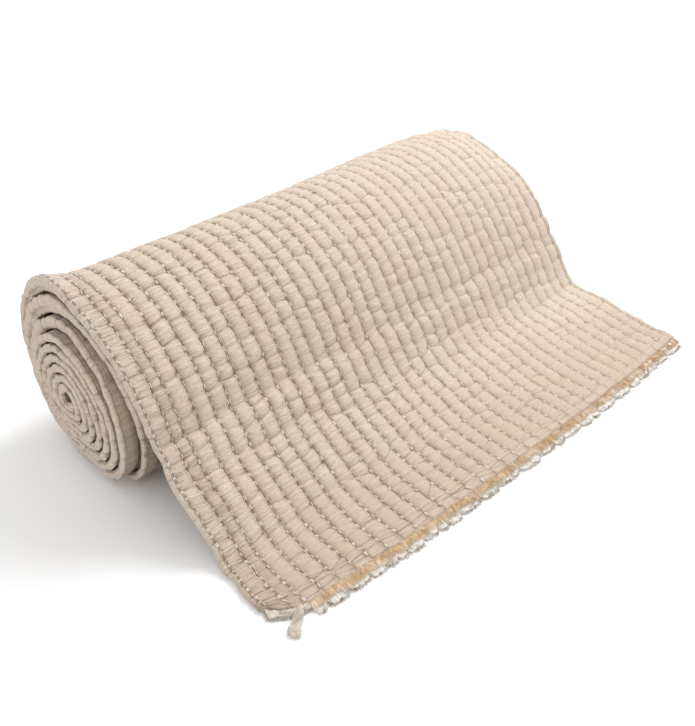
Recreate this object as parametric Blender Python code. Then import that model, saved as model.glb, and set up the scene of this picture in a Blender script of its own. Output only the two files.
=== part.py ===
"""A channel-quilted cotton bedspread, rolled up with its loose end lying out in front of the roll.

X runs along the roll, Y away from the loose end, Z up, in metres. The origin is the middle of the flat
spot that the roll stands on. The cloth is one solid: a sheet that starts at its raw end on the floor,
climbs over the roll, and winds inward. The raw end has two frayed layers, which are solids of their own.

Places along the cloth are angles round the roll: 0 is its front, 90 its top, 180 its back, 270 the
floor, and on inward. The loose end has negative angles. Places across it are shares of its width.
"""

import math
import random

import bmesh
import bpy
import numpy as np
from mathutils import Vector

# Driving dimensions of the cloth
CLOTH_WIDTH = 0.700
LOFT = 0.0094
HEM_BAND = 0.022
NARROW_BAND = 0.014
QUILT_ROWS = 32
ROW_PITCH = 0.0205
ROW_GROOVE = 0.0030
HEM_GROOVE = 0.0022
CREASE_DROP = 0.0017
RIM_ROUND = 0.0040

# Driving dimensions of the roll
ROLL_CENTRE_HEIGHT = 0.0975
TURNS = 8.84
FLOOR_ANGLE = 270.0
SLACK_END = 630.0
CORE_ANGLE = 3270.0
PUFFS_END = 252.0
LOOSE_STATION = 8.0
ROLLED_STATION = 8.0
CHORD_ERROR = 0.0007

# Where the tables below have their sections, as shares of the cloth's width: the left rim, just inside
# it, the middle, just inside the right rim, and the right rim
SECTIONS = (0.0, 0.06, 0.42, 0.88, 1.0)

# Loose end, forward of the roll's centre: angle, then the middle of the thickness at each section
LOOSE_FORWARD = (
    (-91, 0.3180, 0.3300, 0.3500, 0.3600, 0.3580),
    (-77, 0.2830, 0.2890, 0.3040, 0.3150, 0.3150),
    (-62, 0.2480, 0.2497, 0.2600, 0.2700, 0.2725),
    (-46, 0.2160, 0.2170, 0.2230, 0.2292, 0.2310),
    (-34, 0.1955, 0.1956, 0.1960, 0.1965, 0.1967),
    (-22, 0.1733, 0.1734, 0.1737, 0.1742, 0.1743),
    (-6, 0.1490, 0.1494, 0.1522, 0.1556, 0.1565),
)

# Loose end, height off the floor: angle, then the middle of the thickness at each section
LOOSE_HEIGHT = (
    (-91, 0.0047, 0.0047, 0.0047, 0.0047, 0.0047),
    (-77, 0.0047, 0.0047, 0.0055, 0.0085, 0.0095),
    (-62, 0.0055, 0.0060, 0.0105, 0.0160, 0.0175),
    (-46, 0.0235, 0.0235, 0.0235, 0.0235, 0.0235),
    (-34, 0.0450, 0.0438, 0.0370, 0.0283, 0.0260),
    (-22, 0.0619, 0.0610, 0.0556, 0.0488, 0.0470),
    (-6, 0.0895, 0.0892, 0.0874, 0.0851, 0.0845),
)

# Roll, distance from one turn to the next where it is wound tight: angle, pitch
TIGHT_PITCH = (
    (270, 0.01050),
    (285, 0.01092),
    (300, 0.01220),
    (315, 0.01257),
    (330, 0.01258),
    (360, 0.01245),
    (390, 0.01246),
    (420, 0.01226),
    (450, 0.01200),
    (480, 0.01144),
    (510, 0.01157),
    (540, 0.01241),
    (570, 0.01249),
    (600, 0.01141),
    (630, 0.01050),
)

# Roll, how far its two outer turns stand off from the tight winding: angle, stand-off at each section
SLACK = (
    (0, 0.0181, 0.0181, 0.0225, 0.0272, 0.0286),
    (15, 0.0111, 0.0111, 0.0130, 0.0155, 0.0160),
    (30, 0.0065, 0.0065, 0.0090, 0.0110, 0.0095),
    (45, 0.0035, 0.0040, 0.0080, 0.0105, 0.0040),
    (60, 0.0060, 0.0060, 0.0100, 0.0125, -0.0010),
    (75, 0.0082, 0.0082, 0.0125, 0.0162, 0.0010),
    (90, 0.0180, 0.0119, 0.0155, 0.0200, 0.0082),
    (105, 0.0230, 0.0160, 0.0185, 0.0240, 0.0150),
    (120, 0.0210, 0.0165, 0.0190, 0.0285, 0.0235),
    (135, 0.0180, 0.0160, 0.0185, 0.0285, 0.0250),
    (150, 0.0180, 0.0165, 0.0185, 0.0270, 0.0240),
    (165, 0.0149, 0.0140, 0.0175, 0.0204, 0.0185),
    (180, 0.0080, 0.0080, 0.0110, 0.0142, 0.0130),
    (210, 0.0000, 0.0000, 0.0015, 0.0035, 0.0030),
    (240, -0.0010, -0.0010, 0.0000, 0.0015, 0.0015),
    (270, 0.0000, 0.0000, 0.0000, 0.0000, 0.0000),
    (390, 0.0000, 0.0000, 0.0000, 0.0000, 0.0000),
    (420, 0.0040, 0.0040, 0.0050, 0.0060, -0.0005),
    (450, 0.0110, 0.0090, 0.0100, 0.0120, 0.0030),
    (480, 0.0125, 0.0110, 0.0120, 0.0140, 0.0120),
    (510, 0.0105, 0.0100, 0.0105, 0.0120, 0.0110),
    (540, 0.0046, 0.0040, 0.0042, 0.0050, 0.0050),
    (570, 0.0005, 0.0005, 0.0005, 0.0005, 0.0005),
    (600, 0.0000, 0.0000, 0.0000, 0.0000, 0.0000),
    (630, 0.0000, 0.0000, 0.0000, 0.0000, 0.0000),
)

# Where the cloth's two edges lie along the roll, from the loose end's left edge: angle, left, right
EDGES = (
    (-91, -0.0110, 0.7000),
    (-77, -0.0095, 0.6990),
    (-62, -0.0045, 0.6985),
    (-46, -0.0015, 0.7010),
    (-22, -0.0035, 0.7020),
    (0, -0.0010, 0.6940),
    (20, -0.0015, 0.6850),
    (60, -0.0030, 0.6770),
    (90, -0.0045, 0.6760),
    (150, -0.0045, 0.6770),
    (210, -0.0010, 0.6770),
    (270, 0.0040, 0.6800),
    (360, 0.0020, 0.6810),
    (450, -0.0060, 0.6770),
    (540, -0.0090, 0.6760),
    (645, -0.0155, 0.6750),
    (720, -0.0145, 0.6760),
    (810, -0.0090, 0.6790),
    (990, -0.0175, 0.6740),
    (1440, -0.0190, 0.6740),
    (2160, -0.0205, 0.6720),
    (3270, -0.0215, 0.6720),
)

# Driving dimensions of the raw end
END_TAPER = 0.016
END_THICKNESS = 0.0052
PIECE_GAP = 0.0003
TAN_STRIP_DEPTH = 0.0060
TAN_BOTTOM = 0.0027
TAN_TOP = 0.0050
TAN_LOCKS = 62
TAN_LOCK_LENGTH = 0.0045
WADDING_DEPTH = 0.0075
WADDING_TOP = 0.0024
WADDING_LOCKS = 104
WADDING_LOCK_LENGTH = 0.0085
LOCK_FILL = 0.80
BARE_CORNER = 0.056
RIGHT_INSET = 0.006

# The twisted tail of threads at the near corner: place, share of its length, half width, half height, twist
TAIL_LENGTH = 0.033
TAIL_START = 0.044
TAIL_OFFSET = 0.0033
TAIL_HEADING = math.radians(217)
TAIL_SIDES = 6
CORNER_TAIL = (
    ("root", 0.00, 0.0036, 0.0022, 0),
    ("neck", 0.25, 0.0044, 0.0024, 25),
    ("waist", 0.50, 0.0040, 0.0022, 50),
    ("swell", 0.72, 0.0050, 0.0028, 75),
    ("knob", 0.90, 0.0058, 0.0032, 95),
    ("tip", 1.00, 0.0034, 0.0020, 110),
)

SEED = 11


def clear_scene():
    """Removes every object, so that only the bedspread is left."""
    for old in list(bpy.data.objects):
        bpy.data.objects.remove(old, do_unlink=True)


def finish_material(name, colour, roughness):
    """A matte cloth finish."""
    material = bpy.data.materials.new(name)
    material.use_nodes = True
    shader = material.node_tree.nodes["Principled BSDF"]
    shader.inputs["Base Color"].default_value = (*colour, 1.0)
    shader.inputs["Roughness"].default_value = roughness
    shader.inputs["Metallic"].default_value = 0.0
    return material


def add_object(name, mesh_builder, material):
    """Turns a bmesh into one named object with faces pointing out."""
    bmesh.ops.recalc_face_normals(mesh_builder, faces=mesh_builder.faces)
    mesh = bpy.data.meshes.new(name)
    mesh_builder.to_mesh(mesh)
    mesh_builder.free()
    mesh.materials.append(material)
    mesh.shade_smooth()
    mesh.set_sharp_from_angle(angle=math.radians(45))
    made = bpy.data.objects.new(name, mesh)
    bpy.context.scene.collection.objects.link(made)
    return made


def smooth(knots, values, at):
    """A smooth curve through the values at the knots, which never overshoots them."""
    knots, values = np.asarray(knots, float), np.asarray(values, float)
    at = min(max(at, knots[0]), knots[-1])
    slopes = np.diff(values) / np.diff(knots)
    product = slopes[1:] * slopes[:-1]
    total = slopes[1:] + slopes[:-1]
    inner = np.where(product > 0.0, 2.0 * product / np.where(product > 0.0, total, 1.0), 0.0)
    tangents = np.concatenate((slopes[:1], inner, slopes[-1:]))
    start = min(int(np.searchsorted(knots, at, side="right")) - 1, len(knots) - 2)
    width = knots[start + 1] - knots[start]
    share = (at - knots[start]) / width
    rise = (3.0 - 2.0 * share) * share**2
    lead = share * (1.0 - share) ** 2 * width * tangents[start]
    trail = share**2 * (1.0 - share) * width * tangents[start + 1]
    return float(values[start] * (1.0 - rise) + values[start + 1] * rise + lead - trail)


def read_table(table, angle, side):
    """The value of a table of sections at this angle and this share of the width."""
    angles, *sections = zip(*table)
    return smooth(SECTIONS, [smooth(angles, section, angle) for section in sections], side)


def rolled_point(angle, side):
    """Forward and height of the cloth's middle on the roll."""
    around = FLOOR_ANGLE + (angle - FLOOR_ANGLE) % 360.0
    turns_left = TURNS - (angle - FLOOR_ANGLE) / 360.0
    radius = smooth(*zip(*TIGHT_PITCH), around) * turns_left
    if angle < SLACK_END:
        radius += read_table(SLACK, angle, side)
    turned = math.radians(angle)
    return Vector((radius * math.cos(turned), ROLL_CENTRE_HEIGHT + radius * math.sin(turned)))


def loose_row(row, side):
    """Forward and height of one row of the loose end's tables; the rows go on up the roll."""
    if row < len(LOOSE_FORWARD):
        forward, height = LOOSE_FORWARD[row][1:], LOOSE_HEIGHT[row][1:]
        return Vector((smooth(SECTIONS, forward, side), smooth(SECTIONS, height, side)))
    return rolled_point(SLACK[row - len(LOOSE_FORWARD)][0], side)


def cloth_point(angle, side):
    """Forward and height of the cloth's middle anywhere between the raw end and the core."""
    if angle >= SLACK[0][0]:
        return rolled_point(angle, side)
    angles = [row[0] for row in LOOSE_FORWARD] + [row[0] for row in SLACK[:3]]
    points = [loose_row(row, side) for row in range(len(angles))]
    return Vector([smooth(angles, [point[axis] for point in points], angle) for axis in (0, 1)])


def face_normal(angle, side):
    """The direction from the cloth's middle to its quilted face, as forward and height."""
    small = 0.5
    run = cloth_point(angle + small, side) - cloth_point(max(angle - small, LOOSE_FORWARD[0][0]), side)
    return Vector((run.y, -run.x)).normalized()


def place(angle, across, lift):
    """The point of the cloth at this distance from its left edge, lifted off the middle of its thickness."""
    side = across / CLOTH_WIDTH
    point = cloth_point(angle, side) + lift * face_normal(angle, side)
    angles, left, right = zip(*EDGES)
    left_edge, right_edge = smooth(angles, left, angle), smooth(angles, right, angle)
    along = left_edge + (right_edge - left_edge) * side - CLOTH_WIDTH / 2
    return Vector((along, -point.x, max(point.y, 0.0)))


def stitch_columns():
    """The hem's and the rows' stitch lines and crests: distance from the left edge, groove, and row number."""
    columns = [
        (RIM_ROUND, 0.0, -1),
        (0.6 * HEM_BAND, 0.0, -1),
        (HEM_BAND, HEM_GROOVE, -1),
        (HEM_BAND + 0.5 * NARROW_BAND, 0.6 * HEM_GROOVE, -1),
        (HEM_BAND + NARROW_BAND, ROW_GROOVE, -1),
    ]
    first = HEM_BAND + NARROW_BAND
    for row in range(QUILT_ROWS):
        columns.append((first + (row + 0.5) * ROW_PITCH, 0.0, row))
        columns.append((first + (row + 1.0) * ROW_PITCH, ROW_GROOVE, -1))
    columns.append((CLOTH_WIDTH - 0.6 * RIM_ROUND, 0.4 * ROW_GROOVE, -1))
    return columns


def face_lift(angle):
    """Half the loft, tapering to the pressed raw end."""
    flat = END_THICKNESS - LOFT / 2
    to_end = abs(cloth_point(angle, 0.5).x - cloth_point(LOOSE_FORWARD[0][0], 0.5).x) if angle < 0 else 1.0
    share = min(to_end / END_TAPER, 1.0)
    return flat + (LOFT / 2 - flat) * math.sin(0.5 * math.pi * share)


def puffed_ring(angle, station, crease_offsets):
    """A ring of points round the cloth where the quilted rows show."""
    lift = face_lift(angle)
    face = []
    for across, groove, row in stitch_columns():
        drop = groove * min(lift / (LOFT / 2), 1.0)
        if row >= 0 and (station + crease_offsets[row]) % 3 == 0:
            drop = CREASE_DROP
        face.append(place(angle, across, lift - drop))
    return closed_ring(angle, face)


def plain_ring(angle):
    """A ring of points round the cloth where it is wound in or faces the floor."""
    face = [place(angle, across, LOFT / 2) for across in (RIM_ROUND, CLOTH_WIDTH - RIM_ROUND)]
    return closed_ring(angle, face)


def closed_ring(angle, face):
    """The left rim, the face from left to right, the right rim, and the two edges of the back."""
    left_rim = place(angle, 0.0, 0.0)
    right_rim = place(angle, CLOTH_WIDTH, 0.0)
    back = [place(angle, across, -LOFT / 2) for across in (CLOTH_WIDTH - RIM_ROUND, RIM_ROUND)]
    return left_rim, face, right_rim, back


def ring_angles():
    """Angles of the rings: even steps while the rows show, then as far apart as the chord error allows."""
    start = LOOSE_FORWARD[0][0]
    shown = [start, start + 2.0, *np.arange(start + LOOSE_STATION, PUFFS_END, ROLLED_STATION)]
    wound = [PUFFS_END + 5.0, FLOOR_ANGLE - 6.0, FLOOR_ANGLE, FLOOR_ANGLE + 6.0]
    while wound[-1] < CORE_ANGLE:
        radius = (rolled_point(wound[-1], 0.5) - Vector((0.0, ROLL_CENTRE_HEIGHT))).length
        wound.append(wound[-1] + math.degrees(math.sqrt(8.0 * CHORD_ERROR / max(radius, 0.006))))
    return shown, wound


def bridge_faces(builder, near, far):
    """Faces between two rows of points on the same side; rows of unlike length meet in two fans."""
    if len(near) == len(far):
        for left in range(len(near) - 1):
            builder.faces.new((near[left], near[left + 1], far[left + 1], far[left]))
        return
    middle = len(near) // 2
    for left in range(len(near) - 1):
        builder.faces.new((near[left], near[left + 1], far[0] if left < middle else far[-1]))
    builder.faces.new((near[middle], far[-1], far[0]))


def build_cloth(material):
    """The whole cloth, from the raw end to the core, as one closed sheet."""
    chooser = random.Random(SEED)
    crease_offsets = [chooser.randrange(3) for _ in range(QUILT_ROWS)]
    puffed, wound = ring_angles()
    rings = [puffed_ring(angle, station, crease_offsets) for station, angle in enumerate(puffed)]
    rings += [plain_ring(angle) for angle in wound]
    builder = bmesh.new()
    built = []
    for left_rim, face, right_rim, back in rings:
        new = builder.verts.new
        built.append((new(left_rim), [new(p) for p in face], new(right_rim), [new(p) for p in back]))
    for near, far in zip(built, built[1:]):
        bridge_faces(builder, near[1], far[1])
        bridge_faces(builder, near[3], far[3])
        for rim, side, end in ((0, 1, 0), (2, 1, -1), (2, 3, 0), (0, 3, -1)):
            builder.faces.new((near[rim], near[side][end], far[side][end], far[rim]))
    for left_rim, face, right_rim, back in (built[0], built[-1]):
        builder.faces.new((left_rim, *face, right_rim, *back))
    return add_object("quilted_cloth", builder, material)


def raw_end_line(share):
    """A point on the floor line of the cloth's raw end, and the direction that the threads stick out in."""
    small = 0.01
    angle = LOOSE_FORWARD[0][0]
    point = place(angle, CLOTH_WIDTH * share, 0.0)
    before = place(angle, CLOTH_WIDTH * max(share - small, 0.0), 0.0)
    after = place(angle, CLOTH_WIDTH * min(share + small, 1.0), 0.0)
    run = (after - before).normalized()
    return Vector((point.x, point.y, 0.0)), Vector((run.y, -run.x, 0.0))


def build_frayed_layer(name, material, depth, bottom, top, locks, lock_length, seed):
    """A narrow strip along the raw end, with tapering locks of thread pulled out of its front faces."""
    chooser = random.Random(seed)
    shares = [BARE_CORNER]
    widths = [chooser.uniform(0.7, 1.3) for _ in range(locks)]
    scale = (1.0 - BARE_CORNER - RIGHT_INSET) / sum(widths)
    for width in widths:
        shares.append(shares[-1] + width * scale * LOCK_FILL)
        shares.append(shares[-1] + width * scale * (1.0 - LOCK_FILL))
    shares.pop()
    builder = bmesh.new()
    rows = []
    for share in shares:
        point, outward = raw_end_line(share)
        inner = point + outward * PIECE_GAP
        outer = point + outward * (PIECE_GAP + depth)
        corners = ((inner, bottom), (outer, bottom), (outer, top), (inner, top))
        rows.append([builder.verts.new((p.x, p.y, height)) for p, height in corners])
    fronts = []
    for number, (left, right) in enumerate(zip(rows, rows[1:])):
        for side in range(4):
            after = (side + 1) % 4
            face = builder.faces.new((left[side], left[after], right[after], right[side]))
            if side == 1 and number % 2 == 0:
                fronts.append(face)
    builder.faces.new(rows[0])
    builder.faces.new(rows[-1])
    outward = raw_end_line(0.5)[1]
    sideways = Vector((-outward.y, outward.x, 0.0))
    for front in fronts:
        pulled = bmesh.ops.extrude_face_region(builder, geom=[front])["geom"]
        builder.faces.remove(front)
        tip = [part for part in pulled if isinstance(part, bmesh.types.BMVert)]
        middle = sum((corner.co for corner in tip), Vector()) / len(tip)
        reach = outward * lock_length * chooser.uniform(0.60, 1.15)
        lean = sideways * lock_length * chooser.uniform(-0.12, 0.12)
        narrowing = chooser.uniform(0.55, 0.85)
        lowering = chooser.uniform(0.45, 0.85)
        for corner in tip:
            offset = corner.co - middle
            height = bottom + (corner.co.z - bottom) * lowering
            across = sideways * offset.dot(sideways) * narrowing
            corner.co = middle + across + reach + lean
            corner.co.z = height
    return add_object(name, builder, material)


def build_corner_tail(material):
    """The twisted end of threads that lies on the floor, where the raw end's near corner has no tufts."""
    root, outward = raw_end_line(TAIL_START)
    start = root + outward * TAIL_OFFSET
    heading = Vector((math.cos(TAIL_HEADING), math.sin(TAIL_HEADING), 0.0))
    sideways = Vector((-heading.y, heading.x, 0.0))
    builder = bmesh.new()
    rings = []
    for _, share, half_width, half_height, twist in CORNER_TAIL:
        ring = []
        for side in range(TAIL_SIDES):
            turn = 2.0 * math.pi * side / TAIL_SIDES + math.radians(twist)
            across = sideways * half_width * math.cos(turn)
            up = Vector((0.0, 0.0, half_height * (1.0 + math.sin(turn))))
            ring.append(builder.verts.new(start + heading * TAIL_LENGTH * share + across + up))
        rings.append(ring)
    for near, far in zip(rings, rings[1:]):
        for side in range(TAIL_SIDES):
            after = (side + 1) % TAIL_SIDES
            builder.faces.new((near[side], near[after], far[after], far[side]))
    builder.faces.new(rings[0])
    builder.faces.new(rings[-1])
    return add_object("corner_tail", builder, material)


def main():
    clear_scene()
    beige_cotton = finish_material("beige cotton", (0.62, 0.50, 0.40), 0.92)
    tan_scrim = finish_material("tan scrim", (0.66, 0.44, 0.25), 0.95)
    white_wadding = finish_material("white wadding", (0.82, 0.79, 0.73), 0.97)
    build_cloth(beige_cotton)
    build_frayed_layer("tan_scrim_edge", tan_scrim, TAN_STRIP_DEPTH, TAN_BOTTOM, TAN_TOP,
                       TAN_LOCKS, TAN_LOCK_LENGTH, SEED + 1)
    build_frayed_layer("wadding_tufts", white_wadding, WADDING_DEPTH, 0.0, WADDING_TOP,
                       WADDING_LOCKS, WADDING_LOCK_LENGTH, SEED + 2)
    build_corner_tail(white_wadding)


main()
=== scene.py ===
"""A rolled, channel-quilted cotton bedspread with its frayed end out on the floor.

X runs along the roll, Y away from the loose end, Z up, in metres.
"""

import math

import bpy
import numpy as np
from mathutils import Matrix, Vector


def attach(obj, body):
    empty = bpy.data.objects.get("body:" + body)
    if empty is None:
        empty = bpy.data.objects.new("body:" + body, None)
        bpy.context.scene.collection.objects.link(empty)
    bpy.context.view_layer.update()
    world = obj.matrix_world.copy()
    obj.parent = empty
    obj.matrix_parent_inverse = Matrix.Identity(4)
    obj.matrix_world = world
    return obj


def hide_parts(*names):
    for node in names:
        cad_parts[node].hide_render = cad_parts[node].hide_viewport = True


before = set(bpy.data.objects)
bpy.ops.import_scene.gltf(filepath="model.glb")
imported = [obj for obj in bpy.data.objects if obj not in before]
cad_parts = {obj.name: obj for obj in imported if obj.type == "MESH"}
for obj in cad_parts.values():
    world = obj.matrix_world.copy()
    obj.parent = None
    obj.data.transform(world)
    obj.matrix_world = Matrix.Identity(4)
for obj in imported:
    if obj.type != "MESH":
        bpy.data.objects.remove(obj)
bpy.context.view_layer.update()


# The padded cloth, as far as it shows from outside. Two layers of crinkled cotton with wadding between them,
# quilted by hand in rows two centimetres apart and hemmed on both sides. It starts at its raw end on the
# floor, climbs the front of the roll and goes once over it to the floor.

CLOTH_WIDTH = 0.700
LOFT = 0.0094
RIM_ROUND = 0.0046
HEM_LINE = 0.022
NARROW_LINE = 0.036
ROW_PITCH = 0.0205
QUILT_ROWS = 32
RIGHT_EDGE_LINE = 0.6962
ROLL_CENTRE_HEIGHT = 0.0975
TURNS = 8.84
FULL_TURN = 360.0
FLOOR_ANGLE = 270.0
CORE_ANGLE = 3270.0

# Where the tables have their sections, as shares of the width
SECTIONS = (0.0, 0.06, 0.42, 0.88, 1.0)

# The loose end: angle, how far it lies forward of the roll's centre, at each section
LOOSE_FORWARD = (
    (-91, 0.3180, 0.3300, 0.3500, 0.3600, 0.3580),
    (-77, 0.2830, 0.2890, 0.3040, 0.3150, 0.3150),
    (-62, 0.2480, 0.2497, 0.2600, 0.2700, 0.2725),
    (-46, 0.2160, 0.2170, 0.2230, 0.2292, 0.2310),
    (-34, 0.1955, 0.1956, 0.1960, 0.1965, 0.1967),
    (-22, 0.1733, 0.1734, 0.1737, 0.1742, 0.1743),
    (-6, 0.1490, 0.1494, 0.1522, 0.1556, 0.1565),
)

# The loose end: angle, its height off the floor at each section
LOOSE_HEIGHT = (
    (-91, 0.0047, 0.0047, 0.0047, 0.0047, 0.0047),
    (-77, 0.0047, 0.0047, 0.0055, 0.0085, 0.0095),
    (-62, 0.0055, 0.0060, 0.0105, 0.0160, 0.0175),
    (-46, 0.0235, 0.0235, 0.0235, 0.0235, 0.0235),
    (-34, 0.0450, 0.0438, 0.0370, 0.0283, 0.0260),
    (-22, 0.0619, 0.0610, 0.0556, 0.0488, 0.0470),
    (-6, 0.0895, 0.0892, 0.0874, 0.0851, 0.0845),
)

# The tight winding: angle, distance from one turn to the next
TIGHT_PITCH = (
    (270, 0.01050), (285, 0.01092), (300, 0.01220), (315, 0.01257), (330, 0.01258),
    (360, 0.01245), (390, 0.01246), (420, 0.01226), (450, 0.01200), (480, 0.01144),
    (510, 0.01157), (540, 0.01241), (570, 0.01249), (600, 0.01141), (630, 0.01050),
)

# The two outer turns: angle, how far they stand off from the tight winding, at each section
SLACK = (
    (0, 0.0181, 0.0181, 0.0225, 0.0272, 0.0286),
    (15, 0.0111, 0.0111, 0.0130, 0.0155, 0.0160),
    (30, 0.0065, 0.0065, 0.0090, 0.0110, 0.0095),
    (45, 0.0035, 0.0040, 0.0080, 0.0105, 0.0040),
    (60, 0.0060, 0.0060, 0.0100, 0.0125, -0.0010),
    (75, 0.0082, 0.0082, 0.0125, 0.0162, 0.0010),
    (90, 0.0180, 0.0119, 0.0155, 0.0200, 0.0082),
    (105, 0.0230, 0.0160, 0.0185, 0.0240, 0.0150),
    (120, 0.0210, 0.0165, 0.0190, 0.0285, 0.0235),
    (135, 0.0180, 0.0160, 0.0185, 0.0285, 0.0250),
    (150, 0.0180, 0.0165, 0.0185, 0.0270, 0.0240),
    (165, 0.0149, 0.0140, 0.0175, 0.0204, 0.0185),
    (180, 0.0080, 0.0080, 0.0110, 0.0142, 0.0130),
    (210, 0.0000, 0.0000, 0.0015, 0.0035, 0.0030),
    (240, -0.0010, -0.0010, 0.0000, 0.0015, 0.0015),
    (270, 0, 0, 0, 0, 0),
    (390, 0, 0, 0, 0, 0),
    (420, 0.0040, 0.0040, 0.0050, 0.0060, -0.0005),
    (450, 0.0110, 0.0090, 0.0100, 0.0120, 0.0030),
    (480, 0.0125, 0.0110, 0.0120, 0.0140, 0.0120),
    (510, 0.0105, 0.0100, 0.0105, 0.0120, 0.0110),
    (540, 0.0046, 0.0040, 0.0042, 0.0050, 0.0050),
    (570, 0.0005, 0.0005, 0.0005, 0.0005, 0.0005),
    (600, 0, 0, 0, 0, 0),
    (630, 0, 0, 0, 0, 0),
)

# Where the cloth's edges lie along the roll: angle, left edge, right edge
EDGES = (
    (-91, -0.0110, 0.7000), (-77, -0.0095, 0.6990), (-62, -0.0045, 0.6985), (-46, -0.0015, 0.7010),
    (-22, -0.0035, 0.7020), (0, -0.0010, 0.6940), (20, -0.0015, 0.6850), (60, -0.0030, 0.6770),
    (90, -0.0045, 0.6760), (150, -0.0045, 0.6770), (210, -0.0010, 0.6770), (270, 0.0040, 0.6800),
    (360, 0.0020, 0.6810), (450, -0.0060, 0.6770), (540, -0.0090, 0.6760), (645, -0.0155, 0.6750),
    (720, -0.0145, 0.6760), (810, -0.0090, 0.6790), (990, -0.0175, 0.6740), (1440, -0.0190, 0.6740),
    (2160, -0.0205, 0.6720), (3270, -0.0215, 0.6720),
)


def eased(share):
    """A share from 0 to 1 that sets off and arrives gently."""
    return (3.0 - 2.0 * share) * share**2


def ramp(value, start, length):
    """0 up to the start, 1 from this length past it, and straight between them."""
    return np.clip((value - start) / length, 0.0, 1.0)


def smooth(knots, values, at):
    """Smooth curves through rows of values at the knots, which never overshoot them."""
    knots, values, at = (np.asarray(given, float) for given in (knots, values, at))
    at = np.clip(np.broadcast_to(at, values.shape[:-1] + at.shape[-1:]), knots[0], knots[-1])
    width = np.diff(knots)
    slopes = np.diff(values) / width
    product = slopes[..., 1:] * slopes[..., :-1]
    total = np.where(product > 0.0, slopes[..., 1:] + slopes[..., :-1], 1.0)
    inner = np.where(product > 0.0, 2.0 * product / total, 0.0)
    tangents = np.concatenate((slopes[..., :1], inner, slopes[..., -1:]), axis=-1)
    start = np.clip(np.searchsorted(knots, at, side="right") - 1, 0, len(knots) - 2)
    share = (at - knots[start]) / width[start]
    rise = eased(share)
    lead = share * (1.0 - share) ** 2 * width[start]
    trail = share**2 * (1.0 - share) * width[start]
    near, far = (np.take_along_axis(values, start + step, axis=-1) for step in (0, 1))
    near_slope, far_slope = (np.take_along_axis(tangents, start + step, axis=-1) for step in (0, 1))
    return near * (1.0 - rise) + far * rise + lead * near_slope - trail * far_slope


def at_sides(table, angles, sides):
    """A table of sections at each angle, and at each angle's own shares of the width."""
    rows = np.array(table, float)
    return smooth(SECTIONS, smooth(rows[:, 0], rows[:, 1:].T, angles).T, sides)


def roll_radius(angles, sides):
    """How far the cloth's middle is from the roll's centre."""
    pitch_angles, pitches = zip(*TIGHT_PITCH)
    around = FLOOR_ANGLE + (angles - FLOOR_ANGLE) % FULL_TURN
    tight = smooth(pitch_angles, pitches, around) * (TURNS - (angles - FLOOR_ANGLE) / FULL_TURN)
    return tight[:, None] + at_sides(SLACK, angles, sides)


def rolled_middle(angles, sides):
    """Forward and height of the cloth's middle on the roll."""
    radius = roll_radius(angles, sides)
    turned = np.radians(angles)[:, None]
    return radius * np.cos(turned), ROLL_CENTRE_HEIGHT + radius * np.sin(turned)


def loose_middle(angles, sides):
    """Forward and height of the cloth's middle on its loose end, which runs on up the roll."""
    flat_sides = sides.ravel()
    knots = [row[0] for row in LOOSE_FORWARD] + [row[0] for row in SLACK[:3]]
    forward = [smooth(SECTIONS, row[1:], flat_sides) for row in LOOSE_FORWARD]
    height = [smooth(SECTIONS, row[1:], flat_sides) for row in LOOSE_HEIGHT]
    for row in SLACK[:3]:
        up = rolled_middle(np.full(len(flat_sides), float(row[0])), flat_sides[:, None])
        forward.append(up[0][:, 0])
        height.append(up[1][:, 0])
    at = np.repeat(angles, sides.shape[1])[:, None]
    return tuple(smooth(knots, np.array(rows).T, at).reshape(sides.shape) for rows in (forward, height))


def cloth_middle(angles, sides):
    """Forward and height of the cloth's middle anywhere between the raw end and the core."""
    forward, height = rolled_middle(angles, sides)
    loose = angles < 0.0
    if loose.any():
        forward[loose], height[loose] = loose_middle(angles[loose], sides[loose])
    return forward, height


# Lengths along the cloth from its raw end, as angles round the roll
ANGLE_STEP = 0.5
ANGLES_WALKED = np.arange(LOOSE_FORWARD[0][0], CORE_ANGLE, ANGLE_STEP)
walked = cloth_middle(ANGLES_WALKED, np.full((len(ANGLES_WALKED), 1), 0.5))
steps_walked = np.hypot(np.diff(walked[0][:, 0]), np.diff(walked[1][:, 0]))
LENGTHS_WALKED = np.concatenate(([0.0], np.cumsum(steps_walked)))
CLOTH_LENGTH = float(LENGTHS_WALKED[-1])


def angle_at(lengths):
    return np.interp(lengths, LENGTHS_WALKED, ANGLES_WALKED)


def length_to(angle):
    return float(np.interp(angle, ANGLES_WALKED, LENGTHS_WALKED))


def place_cloth(lengths, across, lift, bulge=0.0):
    """Points of the cloth at these lengths and distances across, lifted off the middle of its thickness."""
    angles = angle_at(lengths)
    sides = ramp(across, 0.0, CLOTH_WIDTH)
    forward, height = cloth_middle(angles, sides)
    back_forward, back_height = cloth_middle(np.maximum(angles - ANGLE_STEP, LOOSE_FORWARD[0][0]), sides)
    on_forward, on_height = cloth_middle(angles + ANGLE_STEP, sides)
    run_forward, run_height = on_forward - back_forward, on_height - back_height
    run = np.hypot(run_forward, run_height)
    forward = forward + lift * run_height / run
    height = height - lift * run_forward / run
    edge_angles, *edges = zip(*EDGES)
    left, right = (smooth(edge_angles, edge, angles)[:, None] for edge in edges)
    along = left + (right - left) * sides - CLOTH_WIDTH / 2 + bulge
    return np.stack((along, -forward, np.maximum(height, 0.0)), axis=-1)


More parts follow.
